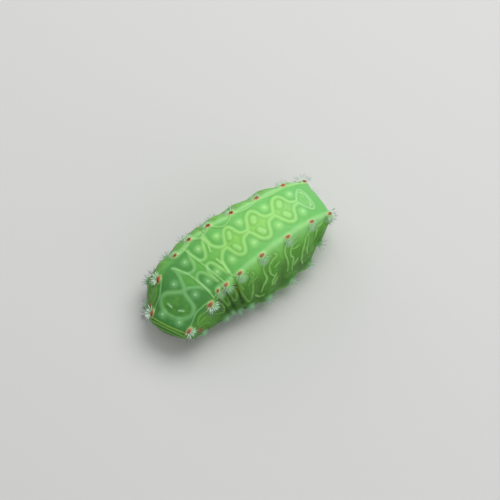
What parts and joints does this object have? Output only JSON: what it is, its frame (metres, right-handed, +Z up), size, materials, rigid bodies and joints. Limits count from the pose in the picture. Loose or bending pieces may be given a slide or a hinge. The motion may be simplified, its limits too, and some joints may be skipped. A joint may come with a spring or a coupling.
{
  "type": "slug moth larva model",
  "caption": "Life-size larva of a slug moth: a broad humped green body, paired warts with fans of stinging spines, a small head under a hood and a flat sole with seven suckers.",
  "frame": {"origin": "on the floor under the middle of the whole model's bounding box", "axes": "+Z up, the head towards -Y, the tail towards +Y and the animal's left side towards +X"},
  "size_m": [0.0064, 0.0124, 0.0042],
  "materials": {
    "skin_green": "moist, slightly translucent green skin with paler raised lines and small red wart spots",
    "head_brown": "glossy light brown head capsule",
    "leg_horn": "glossy pale horn"
  },
  "bodies": {
    "root": {"thorax_hood": "skin_green", "thorax_rear": "skin_green", "abdomen_front": "skin_green", "abdomen_middle": "skin_green", "abdomen_rear": "skin_green", "tail": "skin_green", "head": "head_brown", "antenna_left": "head_brown", "antenna_right": "head_brown", "leg_1_left": "leg_horn", "leg_1_right": "leg_horn", "leg_2_left": "leg_horn", "leg_2_right": "leg_horn", "leg_3_left": "leg_horn", "leg_3_right": "leg_horn"}
  },
  "joints": []
}
